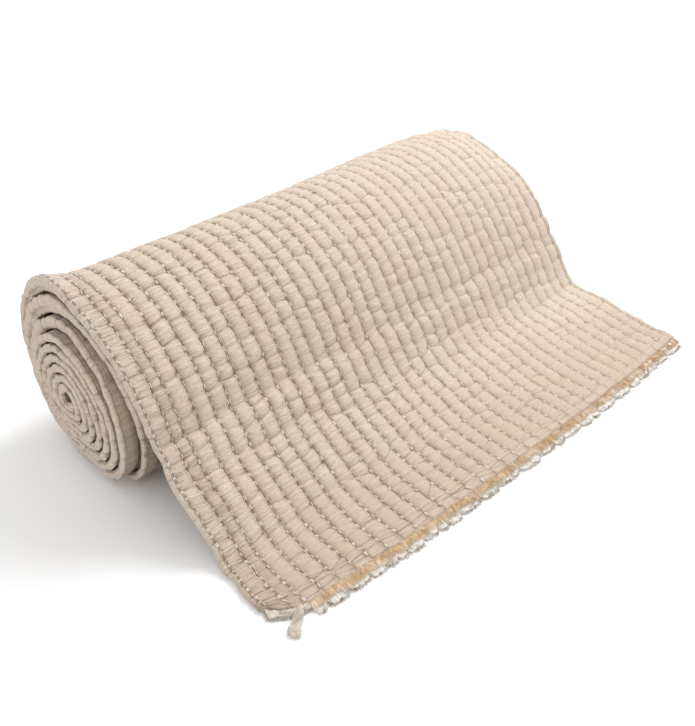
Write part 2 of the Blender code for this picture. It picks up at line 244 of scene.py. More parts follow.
def soft_bumps(draw, first, second, first_size, second_size):
    """Smooth random heights from -1 to 1 over two coordinates, with bumps of this size."""
    rows, columns = int(first.max() / first_size) + 3, int(second.max() / second_size) + 3
    heights = draw.uniform(-1.0, 1.0, (rows, columns))
    first, second = first / first_size, second / second_size
    row, column = first.astype(int), second.astype(int)
    u, v = eased(first - row), eased(second - column)
    near = heights[row, column] * (1.0 - v) + heights[row, column + 1] * v
    far = heights[row + 1, column] * (1.0 - v) + heights[row + 1, column + 1] * v
    return near * (1.0 - u) + far * u


# Stitch lines across the cloth at rest: the edge's own, the hem's two, the rows', and the right edge's
ROW_LINES = [NARROW_LINE + ROW_PITCH * row for row in range(QUILT_ROWS + 1)]
STITCH_LINES = np.array([RIM_ROUND, HEM_LINE, *ROW_LINES, RIGHT_EDGE_LINE])
BANDS = len(STITCH_LINES) - 1
LINE_DEPTHS = np.array([0.0010, 0.0032, 0.0038, *[0.0045] * QUILT_ROWS, 0.0018])
LINE_WANDER = np.array([0.0003, 0.0007, 0.0008, *[0.0013] * QUILT_ROWS, 0.0003])


def stitch_line_places(lengths):
    """Where each stitch line lies across the cloth, at each length; a hand-sewn line wanders a little."""
    draw = np.random.default_rng(5)
    grid = np.meshgrid(lengths, np.arange(BANDS + 1.0), indexing="ij")
    wander = 0.7 * soft_bumps(draw, *grid, 0.055, 2.2) + 0.3 * soft_bumps(draw, *grid, 0.021, 1.0)
    return STITCH_LINES + wander * LINE_WANDER


# Cross creases: how near and how far apart they come, and how they lie from band to band
HEM_CREASE_GAPS = (0.010, 0.030)
ROW_CREASE_GAPS = (0.013, 0.030)
CREASES_KEPT = 0.74
CREASE_DRIFT = 0.0022
CREASE_BOW = 0.07
CREASE_HALF_WIDTH = 0.0033
DEEPEST_CREASE = 0.0036
DEEPEST_SINK = 0.0011
PAST_CORE = 0.05


def draw_creases():
    """The cross creases of every band: place, depth, slant, and how far the cell before each is sunk. Many of
    them run on into the next band."""
    draw = np.random.default_rng(23)
    bands, before = [], []
    for band in range(BANDS):
        closest, widest = HEM_CREASE_GAPS if band < 2 else ROW_CREASE_GAPS
        kept = sorted(at + draw.normal(0.0, CREASE_DRIFT) for at in before if draw.random() < CREASES_KEPT)
        places = [draw.uniform(-0.020, -0.008)]
        for place in [*kept, CLOTH_LENGTH + PAST_CORE]:
            while place - places[-1] > widest:
                places.append(places[-1] + draw.uniform(closest + 0.002, widest))
            if place - places[-1] > closest and place < CLOTH_LENGTH + 0.8 * PAST_CORE:
                places.append(place)
        depth = DEEPEST_CREASE * draw.uniform(0.34, 1.0, len(places)) ** 1.2
        slant = draw.normal(0.03, 0.11, len(places))
        sunk = draw.uniform(0.0, DEEPEST_SINK, len(places))
        bands.append(np.stack((places, depth, slant, sunk), axis=-1))
        before = places
    return bands


CREASES = draw_creases()

# The puffs between the lines, the ripples over them, and the two sewn grooves beside the raw end
WIDE_BAND = 0.012
WIDE_FULLNESS = 3.0
NARROW_FULLNESS = 2.2
CELL_ROUND = 0.009
RIPPLE_HEIGHT = 0.00034
SWAY_HEIGHT = 0.00045
RIGHT_CALM = 0.40
CALM_FROM = 0.10
CALM_RUN = 0.75
END_TAPER = 0.016
END_LIFT = 0.0005
END_SEAM = 0.0125
SEAM_WANDER = 0.0020
SEAM_GROOVES = ((0.0, 0.0019, 0.0020), (0.0050, 0.0010, 0.0018))


def calmness(across):
    """How full the relief is: the cloth lies calmer towards the right."""
    return 1.0 - RIGHT_CALM * ramp(across / CLOTH_WIDTH, CALM_FROM, CALM_RUN)


def quilted_relief(lengths, columns, across):
    """How high the face stands off the middle at each length and column; where between creases that is; and
    how deep the nearest crease is and how far off the seam beside the raw end."""
    draw = np.random.default_rng(31)
    long_grid = np.repeat(lengths[:, None], len(columns), axis=1)
    lift, cells, strength = (np.zeros(across.shape) for _ in range(3))
    flat_end = np.clip((lengths - 0.5 * END_SEAM) / (1.4 * END_SEAM), 0.25, 1.0)
    calm = calmness(across)
    for number, (band, share) in enumerate(columns):
        wide = STITCH_LINES[band + 1] - STITCH_LINES[band]
        off_middle = 2.0 * share - 1.0
        to_line = abs(off_middle)
        place, depth, slant, sunk = CREASES[band].T
        place = place + (slant * off_middle + CREASE_BOW * off_middle**2) * wide
        cell = np.interp(lengths, place, np.arange(len(place)))
        nearest = np.rint(cell).astype(int)
        after = np.minimum(np.ceil(cell).astype(int), len(place) - 1)
        gap = np.abs(lengths - place[nearest])
        into_cell = ramp(gap, 0.0, CELL_ROUND)
        pillow = 1.0 - to_line ** (WIDE_FULLNESS if wide > WIDE_BAND else NARROW_FULLNESS)
        groove = (LINE_DEPTHS[band] * (1.0 - share) + LINE_DEPTHS[band + 1] * share) * calm[:, number]
        folded = depth[nearest] * (0.60 + 0.40 * to_line**2) * np.exp(-((gap / CREASE_HALF_WIDTH) ** 2))
        rounded = 0.50 * depth[nearest] * (1.0 - into_cell) ** 2
        low = sunk[after] * eased(into_cell)
        creased = (folded + pillow * (rounded + low)) * (0.15 + 0.85 * calm[:, number])
        lift[:, number] = groove * (pillow - 1.0) * flat_end - creased
        cells[:, number] = cell
        strength[:, number] = depth[nearest] / DEEPEST_CREASE
    ripple = RIPPLE_HEIGHT * soft_bumps(draw, long_grid, across, 0.0072, 0.010)
    sway = SWAY_HEIGHT * soft_bumps(draw, long_grid, across, 0.030, 0.024)
    from_seam = long_grid - END_SEAM - SEAM_WANDER * soft_bumps(draw, across, across * 0.0, 0.019, 1.0)
    seam = sum(deep * np.exp(-(((from_seam - off) / half) ** 2)) for off, deep, half in SEAM_GROOVES)
    lift = lift + ripple + sway - seam * calm
    half_loft = END_LIFT + (LOFT / 2 - END_LIFT) * np.sin(0.5 * np.pi * ramp(lengths, 0.0, END_TAPER))
    lift = lift * (half_loft / (LOFT / 2))[:, None] + half_loft[:, None] - 0.0001
    return lift, cells, np.stack((strength, 100.0 * from_seam), axis=-1)


# The rims: directions round the hem and round the tuck under it, and how they puff, swell and wear
RIM_TURNS = np.radians((68, 45, 16, -16, -45, -68))
RIM_OUT = np.cos(RIM_TURNS) ** 0.55
RIM_UP = 1.06 * np.sign(RIM_TURNS) * np.abs(np.sin(RIM_TURNS)) ** 0.80
TUCK_TURNS = np.radians((52, 0, -52))
TUCK_OUT = 0.30 * np.cos(TUCK_TURNS)
RIM_POINTS = len(RIM_TURNS) + len(TUCK_TURNS)
RIM_PUFFS = 0.0012
LOOSE_RIM_PUFFS = 0.0016
RIM_RIBS = 0.0005
RIM_PLUMP = 0.0009
RIM_MAP = 0.016
TURN_GAP = 0.0009
SWOLLEN_SHARE = 0.42
TUCKED_SHARE = 0.56
MOST_SWOLLEN = 0.0050
MOST_TUCKED = 0.0100
STOUT_HEM = 0.0050
STOUT_ANGLE = 108.0
STOUT_SPREAD = 34.0
STOUT_SIDES = 0.075
CORNER_WEAR = 0.0135
CORNER_WIDTH = 0.032
WEAR_REACH = 0.034
WEAR_WAY = (0.35, 1.0, 0.0)


def swollen(lengths, sides):
    """How much more than its loft the wound cloth fills outward and inward, so that turns nearly touch."""
    angles = angle_at(lengths)
    sides = np.clip(sides, 0.0, 1.0)
    here = roll_radius(angles, sides)
    outward = roll_radius(np.maximum(angles - FULL_TURN, 0.0), sides) - here - LOFT - TURN_GAP
    inward = here - roll_radius(angles + FULL_TURN, sides) - LOFT - TURN_GAP
    outward = np.clip(outward * SWOLLEN_SHARE, 0.0, MOST_SWOLLEN) * ramp(angles, FULL_TURN, 20.0)[:, None]
    inward = np.clip(inward * TUCKED_SHARE, 0.0, MOST_TUCKED) * ramp(angles, 8.0, 40.0)[:, None]
    stout = np.exp(-(((angles - STOUT_ANGLE) / STOUT_SPREAD) ** 2))[:, None]
    outward = outward + STOUT_HEM * stout * (1.0 - ramp(sides, 0.0, STOUT_SIDES))
    return outward, inward * (angles < CORE_ANGLE - FULL_TURN - 5.0)[:, None]


def worn_back(across):
    """How far the near corner is worn back from the raw end."""
    return CORNER_WEAR * (1.0 - ramp(across, 0.0, CORNER_WIDTH)) ** 2.2


def cloth_rings(lengths, face_columns, back_columns, seed):
    """Closed rings of points round the cloth, with each point's place on the cloth and on the quilting."""
    draw = np.random.default_rng(seed)
    lines = stitch_line_places(lengths)

    def across_of(columns):
        return np.stack([lines[:, b] + t * (lines[:, b + 1] - lines[:, b]) for b, t in columns], axis=-1)

    def ring(left, face, right, back):
        """What goes up over the left rim, across the face, down the right rim and back underneath."""
        return np.concatenate((left, face, right, back[:, ::-1]), axis=1)

    face_across, back_across = across_of(face_columns), across_of(back_columns)
    face_lift, face_cells, face_folds = quilted_relief(lengths, face_columns, face_across)
    back_lift, back_cells, back_folds = quilted_relief(lengths, back_columns, back_across)
    face_lift = face_lift + swollen(lengths, face_across / CLOTH_WIDTH)[0]
    back_lift = -np.clip(0.55 * back_lift + 0.45 * LOFT / 2, 0.0, LOFT / 2)
    back_lift[lengths < END_TAPER] = -LOFT / 2
    tucked_lift = back_lift - swollen(lengths, back_across / CLOTH_WIDTH)[1]
    plump = RIM_PLUMP * ramp(angle_at(lengths), 340.0, 40.0)[:, None]
    loose = 1.0 - ramp(lengths, 0.08, 0.20)[:, None]

    def rim(edge, column, swell, outward):
        place = lengths[:, None], np.zeros((len(lengths), 1))
        puffed = soft_bumps(draw, *place, 0.019, 1.0) * (RIM_PUFFS + LOOSE_RIM_PUFFS * loose)
        puffed = puffed + RIM_RIBS * soft_bumps(draw, *place, 0.0080, 1.0)
        top, low, tucked = (lift[:, column, None] for lift in (face_lift, back_lift, tucked_lift))
        top, low, tucked = top + plump, low - 0.3 * plump, tucked - 0.6 * plump
        hem = (top + low) / 2 + (top - low) / 2 * RIM_UP
        tuck = (low + tucked) / 2 + (low - tucked) / 2 * np.sin(TUCK_TURNS)
        bulge = np.concatenate(((swell + puffed) * RIM_OUT, (swell - 2.0 * puffed) * TUCK_OUT), axis=1)
        return place_cloth(lengths, edge * ones, np.concatenate((hem, tuck), axis=1), outward * bulge)

    ones = np.ones((len(lengths), RIM_POINTS))
    left_rim = rim(RIM_ROUND, 0, RIM_ROUND, -1.0)[:, ::-1]
    right_rim = rim(RIGHT_EDGE_LINE, -1, CLOTH_WIDTH - RIGHT_EDGE_LINE, 1.0)
    face = place_cloth(lengths, face_across, face_lift)
    back = place_cloth(lengths, back_across, tucked_lift)
    worn = worn_back(ring(0.0 * ones, face_across, CLOTH_WIDTH * ones, back_across))
    worn = worn * ((1.0 - ramp(lengths, 0.0, WEAR_REACH)) ** 1.5)[:, None]
    points = ring(left_rim, face, right_rim, back) + worn[..., None] * WEAR_WAY

    rim_steps = RIM_MAP * (np.arange(RIM_POINTS) + 1) / (RIM_POINTS + 1)
    rim_places = (ones * (rim_steps + RIM_ROUND - RIM_MAP), ones * (RIGHT_EDGE_LINE + rim_steps))
    ring_place = ring(rim_places[0], face_across, rim_places[1], 2 * CLOTH_WIDTH + 2 * RIM_MAP - back_across)
    sides = (face_columns, back_columns)
    face_rows, back_rows = (np.array([[sum(column) for column in side]]) for side in sides)
    row_place = ring(-0.5 * ones[:1], face_rows, (BANDS + 0.5) * ones[:1], back_rows)
    row_place = np.repeat(row_place, len(lengths), axis=0)
    cells = ring(ones * face_cells[:, :1], face_cells, ones * face_cells[:, -1:], back_cells)
    rim_folds = [np.repeat(face_folds[:, [column]], RIM_POINTS, axis=1) for column in (0, -1)]
    long_place = np.repeat(lengths[:, None], points.shape[1], axis=1)
    maps = {
        "cloth": np.stack((ring_place, long_place), axis=-1),
        "quilting": np.stack((row_place, cells), axis=-1),
        "creasing": ring(rim_folds[0], face_folds, rim_folds[1], back_folds),
    }
    return points, maps


def placed(name, data):
    """A new object, put in the scene."""
    made = bpy.data.objects.new(name, data)
    bpy.context.scene.collection.objects.link(made)
    return made


def cloth_mesh(name, points, maps):
    """A closed mesh through the rings, with maps of the cloth's own places and of its quilting."""
    rings, around = points.shape[:2]
    ring, place = np.meshgrid(np.arange(rings - 1), np.arange(around), indexing="ij")
    corners = ((0, 0), (0, 1), (1, 1), (1, 0))
    quads = np.stack([(ring + r) * around + (place + p) % around for r, p in corners], axis=-1).reshape(-1, 4)
    caps = [list(range(around))[::-1], [(rings - 1) * around + corner for corner in range(around)]]
    mesh = bpy.data.meshes.new(name)
    mesh.from_pydata(points.reshape(-1, 3), [], [*quads.tolist(), *caps])
    for layer, places in maps.items():
        closing = places[:, -1:].copy()
        if layer == "cloth":
            closing[..., 0] += 0.010
        places = np.concatenate((places, closing), axis=1)
        at_corners = np.stack([places[ring + r, place + p] for r, p in corners], axis=2).reshape(-1, 2)
        at_caps = np.concatenate((places[0, :around][::-1], places[-1, :around]))
        flat = np.concatenate((at_corners, at_caps)).astype(np.float32)
        mesh.uv_layers.new(name=layer).data.foreach_set("uv", flat.ravel())
    mesh.shade_smooth()
    for cap in mesh.polygons[-2:]:
        cap.use_smooth = False
    return placed(name, mesh)


class Value:
    """A value in a material. Arithmetic on it adds the nodes that work it out."""

    def __init__(self, finish, socket):
        self.finish, self.socket = finish, socket

    def maths(self, operation, *values):
        return self.finish.node("ShaderNodeMath", {"operation": operation}, dict(enumerate(values)))

    def __add__(self, other):
        return self.maths("ADD", self, other)

    __radd__ = __add__

    def __sub__(self, other):
        return self.maths("SUBTRACT", self, other)

    def __rsub__(self, other):
        return self.maths("SUBTRACT", other, self)

    def __mul__(self, other):
        return self.maths("MULTIPLY", self, other)

    __rmul__ = __mul__

    def axis(self, number):
        """One part of a place, counted from 0."""
        return self.finish.node("ShaderNodeSeparateXYZ", None, {0: self}, output=number)

    def between(self, low, high):
        """0 below low, 1 above high, and a smooth step between them."""
        sockets = {"Value": self, "From Min": low, "From Max": high}
        return self.finish.node("ShaderNodeMapRange", {"interpolation_type": "SMOOTHSTEP"}, sockets)


class Finish:
    """A material in the making, with one method that adds any node."""

    def __init__(self, name):
        self.material = bpy.data.materials.new(name)
        self.material.use_nodes = True
        self.nodes, self.links = self.material.node_tree.nodes, self.material.node_tree.links
        self.shader = self.nodes["Principled BSDF"]

    def node(self, kind, settings=None, sockets=None, output=0):
        made = self.nodes.new(kind)
        for setting, value in (settings or {}).items():
            setattr(made, setting, value)
        for socket, value in (sockets or {}).items():
            if isinstance(value, Value):
                self.links.new(value.socket, made.inputs[socket])
            else:
                made.inputs[socket].default_value = value
        return Value(self, made.outputs[output])

    def mix(self, share, first, second):
        """One colour laid over another."""
        first, second = (value if isinstance(value, Value) else (*value, 1.0) for value in (first, second))
        return self.node("ShaderNodeMix", {"data_type": "RGBA"}, {0: share, 6: first, 7: second}, output=2)

    def noise(self, place, scale, detail=2.0, roughness=0.5):
        sockets = {"Vector": place, "Scale": scale, "Detail": detail, "Roughness": roughness}
        return self.node("ShaderNodeTexNoise", None, sockets)

    def grain(self, place, across, along, detail=2.0, roughness=0.5):
        """Noise with its own number of bumps to the metre across the cloth and along it."""
        multiply = {"operation": "MULTIPLY"}
        stretched = self.node("ShaderNodeVectorMath", multiply, {0: place, 1: (across, along, 1.0)})
        return self.noise(stretched, 1.0, detail, roughness)

    def wear(self, **sockets):
        """Sets the surface's own values, or joins them to what was worked out."""
        for socket, value in sockets.items():
            pin = self.shader.inputs[socket.replace("_", " ")]
            if isinstance(value, Value):
                self.links.new(value.socket, pin)
            elif isinstance(value, tuple):
                pin.default_value = (*value, 1.0)
            else:
                pin.default_value = value

    def raised(self, height, millimetres):
        """The normal of a surface with this much relief."""
        sockets = {"Height": height, "Distance": millimetres / 1000.0, "Strength": 1.0}
        return self.node("ShaderNodeBump", None, sockets)


PINK_COTTON = (0.640, 0.518, 0.436)
STRAW_COTTON = (0.640, 0.545, 0.432)
PALE_FLECK = (0.86, 0.78, 0.69)
PAINTED_CREST_HIGHLIGHT = (0.82, 0.73, 0.64)
SLUB_BROWN = (0.50, 0.38, 0.29)
BROWN_SHADE = (0.27, 0.17, 0.10)
WARM_END = (0.50, 0.38, 0.26)


def crinkled_cotton(name):
    """Fine crinkled cotton, pinkish beige, browner down in the stitch lines and creases. It gathers in small
    wrinkles across every row, and in tighter ribs along the hem."""
    finish = Finish(name)
    layers = ("cloth", "quilting", "creasing")
    place, quilting, creasing = (finish.node("ShaderNodeUVMap", {"uv_map": layer}) for layer in layers)
    across, along = place.axis(0), place.axis(1)
    row, cell = quilting.axis(0), quilting.axis(1)
    depth, from_seam = creasing.axis(0), creasing.axis(1)

    # Bumps to the metre, across the cloth and along it
    wobble = finish.grain(place, 220.0, 220.0) - 0.5
    patches = finish.grain(place, 14.4, 9.6, 3.0)
    speckle = finish.grain(place, 520.0, 900.0, 2.0, 0.7)
    slubs = finish.grain(place, 90.0, 900.0)
    # worn is a patch noise; in this material it only sets how strong the painted shade is in the lines, creases
    # and seams, and how dark the narrow band is
    worn = finish.grain(place, 70.0, 30.0).between(0.30, 0.70)
    crinkle = finish.grain(place, 48.0, 250.0, 2.5, 0.55)
    ribs = finish.grain(place, 26.0, 330.0, 1.5)
    fine_crinkle = finish.grain(place, 120.0, 640.0)

    # Where the sewing is: a line lies at every whole row, a crease at every whole cell, seams in centimetres
    from_line = row.maths("PINGPONG", row + 0.035 * wobble, 0.5)
    from_crease = cell.maths("PINGPONG", cell + 0.07 * wobble, 0.5)
    in_line = 1.0 - from_line.between(0.0, 0.070)
    near_line = 1.0 - from_line.between(0.03, 0.34)
    in_crease = (1.0 - from_crease.between(0.0, 0.09)) * depth.between(0.06, 1.0)
    in_crease = in_crease * from_line.between(0.03, 0.08)
    first_seam = 1.0 - from_seam.maths("ABSOLUTE", from_seam).between(0.0, 0.13)
    second_seam = 1.0 - from_seam.maths("ABSOLUTE", from_seam - 0.50).between(0.0, 0.11)
    seam = first_seam + 0.6 * second_seam
    hem = (1.0 - row.between(1.9, 2.05)) * (0.45 + 0.55 * row.between(-0.4, 0.2))
    narrow_band = row.between(0.92, 1.10) * (1.0 - row.between(1.90, 2.08))
    inside = along.between(cover_end - 0.03, cover_end + 0.04) * row.between(-0.2, 0.8)
    gathering = 1.0 - 0.72 * across.between(0.08, 0.60)

    # Painted shade down in the troughs of the crinkles, of the hem's ribs and of the fine crinkles, deeper near
    # the lines
    painted_trough_shade = (1.0 - crinkle.between(0.32, 0.56)) * (0.16 + 0.26 * near_line) * gathering
    painted_trough_shade = painted_trough_shade + (1.0 - ribs.between(0.36, 0.52)) * hem * 0.22
    painted_trough_shade = painted_trough_shade + (1.0 - fine_crinkle.between(0.3, 0.6)) * 0.12
    colour = finish.mix(patches.between(0.40, 0.62), PINK_COTTON, STRAW_COTTON)
    for share, tint in (
        (speckle.between(0.35, 0.75) * 0.28, PALE_FLECK),
        ((1.0 - speckle.between(0.28, 0.48)) * 0.25, BROWN_SHADE),
        (slubs.between(0.52, 0.78) * 0.20, SLUB_BROWN),
        (painted_trough_shade, BROWN_SHADE),
        (narrow_band * (0.06 + 0.16 * worn), BROWN_SHADE),
        # painted highlight on the crinkle crests away from the lines
        (crinkle.between(0.50, 0.72) * (1.0 - near_line) * 0.30, PAINTED_CREST_HIGHLIGHT),
        # painted shade down in the stitch lines and on the sides of their grooves, in the creases, and in the
        # seam grooves beside the raw end
        (in_line * (0.36 + 0.40 * worn) * (0.50 + 0.50 * gathering), BROWN_SHADE),
        (near_line * (1.0 - in_line) * (0.25 + 0.75 * gathering) * 0.20, BROWN_SHADE),
        (in_crease * (0.16 + 0.38 * worn) * (0.34 + 0.66 * gathering), BROWN_SHADE),
        (seam * (0.18 + 0.30 * worn) * (0.3 + 0.7 * gathering), BROWN_SHADE),
        # painted shade on the wound turns in the gap behind the cover, and on the whole underside
        (inside * 0.64, BROWN_SHADE),
        (across.between(0.71, 0.74) * 0.42, BROWN_SHADE),
        ((1.0 - along.between(0.03, 0.16)) * 0.42, WARM_END),
    ):
        colour = finish.mix(share, colour, tint)

    wave = {"wave_type": "BANDS", "bands_direction": "Y"}
    weft = {"Vector": place, "Scale": 260.0, "Distortion": 1.2, "Detail": 1.0, "Detail Scale": 2.0}
    threads = finish.node("ShaderNodeTexWave", wave, weft, output=1)
    relief = crinkle * (2.0 + 2.0 * near_line) * gathering + ribs * hem * 3.0
    relief = relief + fine_crinkle * (1.25 + 0.35 * hem) + speckle * 0.50 + threads * 0.05
    relief = relief - in_line * (0.32 + 0.78 * gathering) - in_crease * 0.75 * (0.55 + 0.45 * gathering)
    relief = relief - seam * (0.2 + 0.7 * gathering)
    finish.wear(
        Base_Color=colour,
        Roughness=0.90 - 0.08 * speckle,
        Normal=finish.raised(relief, 1.0),
        Sheen_Weight=0.15,
        Sheen_Roughness=0.5,
        Specular_IOR_Level=0.2,
    )
    return finish.material


def columns_of(*groups):
    """Columns of points along the cloth, each as its band and its share of that, with one on the last line."""
    inner = [(band, share) for bands, shares in groups for band in bands for share in shares]
    return [*inner, (BANDS - 1, 1.0)]


HEM_SHARES = (0.0, 0.07, 0.18, 0.33, 0.50, 0.67, 0.82, 0.93)
NARROW_SHARES = (0.0, 0.10, 0.30, 0.50, 0.70, 0.90)
ROW_SHARES = (0.0, 0.07, 0.20, 0.38, 0.62, 0.80, 0.93)
SHOWN_END = 268.0
FINE_END = 205.0
FINE_STEP = 0.0027
COARSE_STEP = 0.0042

cover_fine = np.arange(0.0, length_to(FINE_END), FINE_STEP)
cover_end = length_to(SHOWN_END)
cover_coarse = np.arange(cover_fine[-1] + COARSE_STEP, cover_end - 0.5 * COARSE_STEP, COARSE_STEP)
cover_lengths = np.concatenate((cover_fine, cover_coarse, [cover_end]))
cover_columns = columns_of(
    ([0], HEM_SHARES),
    ([1], NARROW_SHARES),
    (range(2, QUILT_ROWS + 2), ROW_SHARES),
    ([BANDS - 1], (0.0, 0.35, 0.7)),
)
cover_back = columns_of((range(BANDS), (0.0, 0.5)))
cover_rings = cloth_rings(cover_lengths, cover_columns, cover_back, 41)
cover = cloth_mesh("quilted_cover", *cover_rings)
cotton = crinkled_cotton("beige_crinkled_cotton")
cover.data.materials.append(cotton)
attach(cover, "root")
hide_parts("quilted_cloth")


# The rest of the same cloth, wound inward from where the cover meets the floor. Only its rims show, at both
# ends of the roll, and a little of its face in the gap behind the draped end, so its rows are fine near the
# left rim and coarse elsewhere.

TURN_STEP = 0.0040
INNER_STEP = 0.0046
VISIBLE_TURNS_END = 640.0
visible_end = length_to(VISIBLE_TURNS_END)
turn_lengths = np.concatenate((
    np.arange(cover_end, visible_end, TURN_STEP),
    np.arange(visible_end, CLOTH_LENGTH, INNER_STEP),
))
turn_columns = columns_of(
    ([0], HEM_SHARES),
    ([1], (0.0, 0.2, 0.5, 0.8)),
    (range(2, 6), (0.0, 0.12, 0.5, 0.88)),
    (range(6, QUILT_ROWS, 3), [0.0]),
    (range(QUILT_ROWS, QUILT_ROWS + 2), (0.0, 0.2, 0.8)),
    ([BANDS - 1], [0.0]),
)
turn_back = columns_of(([0], (0.0, 0.5)), ([1], [0.0]), ([2], (0.0, 0.5)), ((3, 12, 24, 33), [0.0]))
turns = cloth_mesh("wound_turns", *cloth_rings(turn_lengths, turn_columns, turn_back, 43))
turns.data.materials.append(cotton)
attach(turns, "root")
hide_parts("quilted_cloth")


# The hand quilting: running stitches of white cotton thread, mostly sewn with it doubled, down in every row's
# line. There are about nine in ten centimetres, and each dips back into the cloth at both ends. A closer line of
# small ones holds the hem's left edge.

STITCH_PITCH = 0.0108
STITCH_LENGTH = 0.0052
STITCH_HEIGHT = 0.0018
EDGE_PITCH = 0.0090
EDGE_LENGTH = 0.0038
EDGE_HEIGHT = 0.0006
THREAD_RADIUS = 0.00058
THREAD_SIDES = 4
THREAD_WHITE = (0.82, 0.76, 0.68)
STITCH_SHARES = np.array((-0.5, -0.36, 0.36, 0.5))
STITCH_RISE = np.array((-0.5, 1.0, 1.0, -0.5))
STITCH_TAPER = np.array((0.7, 1.0, 1.0, 0.7))
HIDDEN_RUN = 0.03
MISSED = 0.06
DOUBLED = 0.7


def tube_faces(rings, sides):
    """The faces of a tube of rings, closed at both ends."""
    faces = []
    for ring in range(rings - 1):
        for side in range(sides):
            here, beside = ring * sides + side, ring * sides + (side + 1) % sides
            faces.append((here, beside, beside + sides, here + sides))
    return [*faces, tuple(range(sides))[::-1], tuple(range((rings - 1) * sides, rings * sides))]


def thread_tube(points, radii, sides):
    """Corner points and faces of a closed tube through the points."""
    points = np.asarray(points, float)
    run = np.gradient(points, axis=0)
    run /= np.maximum(np.linalg.norm(run, axis=1, keepdims=True), 1e-9)
    guide = np.where(np.abs(run[:, 2:3]) > 0.9, np.array([[1.0, 0.0, 0.0]]), np.array([[0.0, 0.0, 1.0]]))
    sideways = np.cross(run, guide)
    sideways /= np.linalg.norm(sideways, axis=1, keepdims=True)
    upward = np.cross(sideways, run)
    turn = 2.0 * np.pi * (np.arange(sides) + 0.5) / sides
    ring = np.cos(turn)[:, None] * sideways[:, None] + np.sin(turn)[:, None] * upward[:, None]
    corners = points[:, None] + ring * np.asarray(radii)[:, None, None]
    return corners.reshape(-1, 3), tube_faces(len(points), sides)


def joined_piece(name, parts, material):
    """One object from many small meshes of points and faces, none of it below the floor."""
    points, faces, start = [], [], 0
    for corners, its_faces in parts:
        points.append(corners)
        faces.extend([tuple(corner + start for corner in face) for face in its_faces])
        start += len(corners)
    points = np.concatenate(points)
    points[:, 2] = np.maximum(points[:, 2], 0.0)
    mesh = bpy.data.meshes.new(name)
    mesh.from_pydata(points, [], faces)
    mesh.shade_flat()
    mesh.materials.append(material)
    mesh.validate()
    return placed(name, mesh)


def sewing_thread(name, colour):
    """Soft twisted cotton thread."""
    finish = Finish(name)
    twist = finish.noise(finish.node("ShaderNodeTexCoord", output=3), 2400.0, 1.0)
    shade = finish.mix(twist.between(0.35, 0.7) * 0.35, colour, tuple(0.72 * part for part in colour))
    finish.wear(Base_Color=shade, Roughness=0.75, Normal=finish.raised(twist, 0.08), Sheen_Weight=0.2)
    return finish.material


def read_path(at, marks, path):
    """Points of a path in between the marks that its own points have."""
    return np.stack([np.interp(at, marks, path[:, axis]) for axis in range(3)], axis=-1)


def line_path(column):
    """The points of one column of the cover's face, to be read at any length."""
    return lambda at: read_path(at, cover_lengths, cover_rings[0][:, RIM_POINTS + column])


def sewn_line(draw, column, start, height, pitch, long):
    """Running stitches along one column of the cover, up to where it goes under the roll."""
    before, line, after = (line_path(column + step) for step in (-1, 0, 1))
    parts, at = [], start + draw.uniform(0.0, pitch)
    calm = float(calmness(STITCH_LINES[cover_columns[column][0]]))
    height, radius = height * calm**1.4, THREAD_RADIUS * (0.5 + 0.5 * calm)
    while at < cover_end - HIDDEN_RUN:
        size = long * draw.uniform(0.75, 1.2)
        if draw.random() > MISSED:
            places = at + size * STITCH_SHARES
            path = line(np.clip(places, 0.0, cover_end))
            across = after(places) - before(places)
            up = np.cross(across, np.gradient(path, axis=0))
            up /= np.maximum(np.linalg.norm(up, axis=1, keepdims=True), 1e-9)
            rise = height * draw.uniform(0.75, 1.15) * STITCH_RISE
            sideways = across / np.linalg.norm(across, axis=1, keepdims=True)
            path = path + up * rise[:, None] + sideways * draw.normal(0.0, 0.00022)
            apart = radius * draw.uniform(1.1, 1.9) if draw.random() < DOUBLED else 0.0
            for side in (-apart, apart) if apart else (0.0,):
                slipped = path + (line(places + draw.normal(0.0, 0.0004)) - line(places))
                parts.append(thread_tube(slipped + sideways * side, radius * STITCH_TAPER, THREAD_SIDES))
        at += pitch * draw.uniform(0.88, 1.12)
    return parts


white_thread = sewing_thread("white_sewing_thread", THREAD_WHITE)
draw = np.random.default_rng(7)
line_columns = [number for number, (band, share) in enumerate(cover_columns) if share == 0.0 and band > 0]
row_stitches = []
for column in line_columns:
    row_stitches += sewn_line(draw, column, 0.004, STITCH_HEIGHT, STITCH_PITCH, STITCH_LENGTH)
quilting_stitches = joined_piece("quilting_stitches", row_stitches, white_thread)
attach(quilting_stitches, "root")

hem_edge_stitches = sewn_line(draw, 0, 0.012, EDGE_HEIGHT, EDGE_PITCH, EDGE_LENGTH)
edge_stitches = joined_piece("edge_stitches", hem_edge_stitches, white_thread)
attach(edge_stitches, "root")


# The tan scrim that lies between the cover and the wadding. Its threads stick out all along the raw end as a
# short ochre brush, matted into scallops that fade to pale tips.

BARE_CORNER = 0.056
SCRIM_END = 0.994
RAW_END_GAP = 0.0003
TAN_STRANDS = 5200
TAN_REACH = 0.0112
SCALLOPS = 21.0
UPWARD = np.array((0.0, 0.0, 1.0))

# A matted strip's cross section: share of its reach, height
TAN_SECTION = (
    (0.0, 0.0028), (0.5, 0.0026), (0.92, 0.0024), (1.0, 0.0030), (0.85, 0.0039), (0.45, 0.0050), (0.0, 0.0052)
)

edge_shares = np.linspace(0.0, 1.0, 401)
edge_points = place_cloth(np.array([0.0]), edge_shares[None] * CLOTH_WIDTH, 0.0)[0]
edge_points[:, 2] = 0.0
edge_runs = np.gradient(edge_points, axis=0)
edge_runs /= np.linalg.norm(edge_runs, axis=1, keepdims=True)


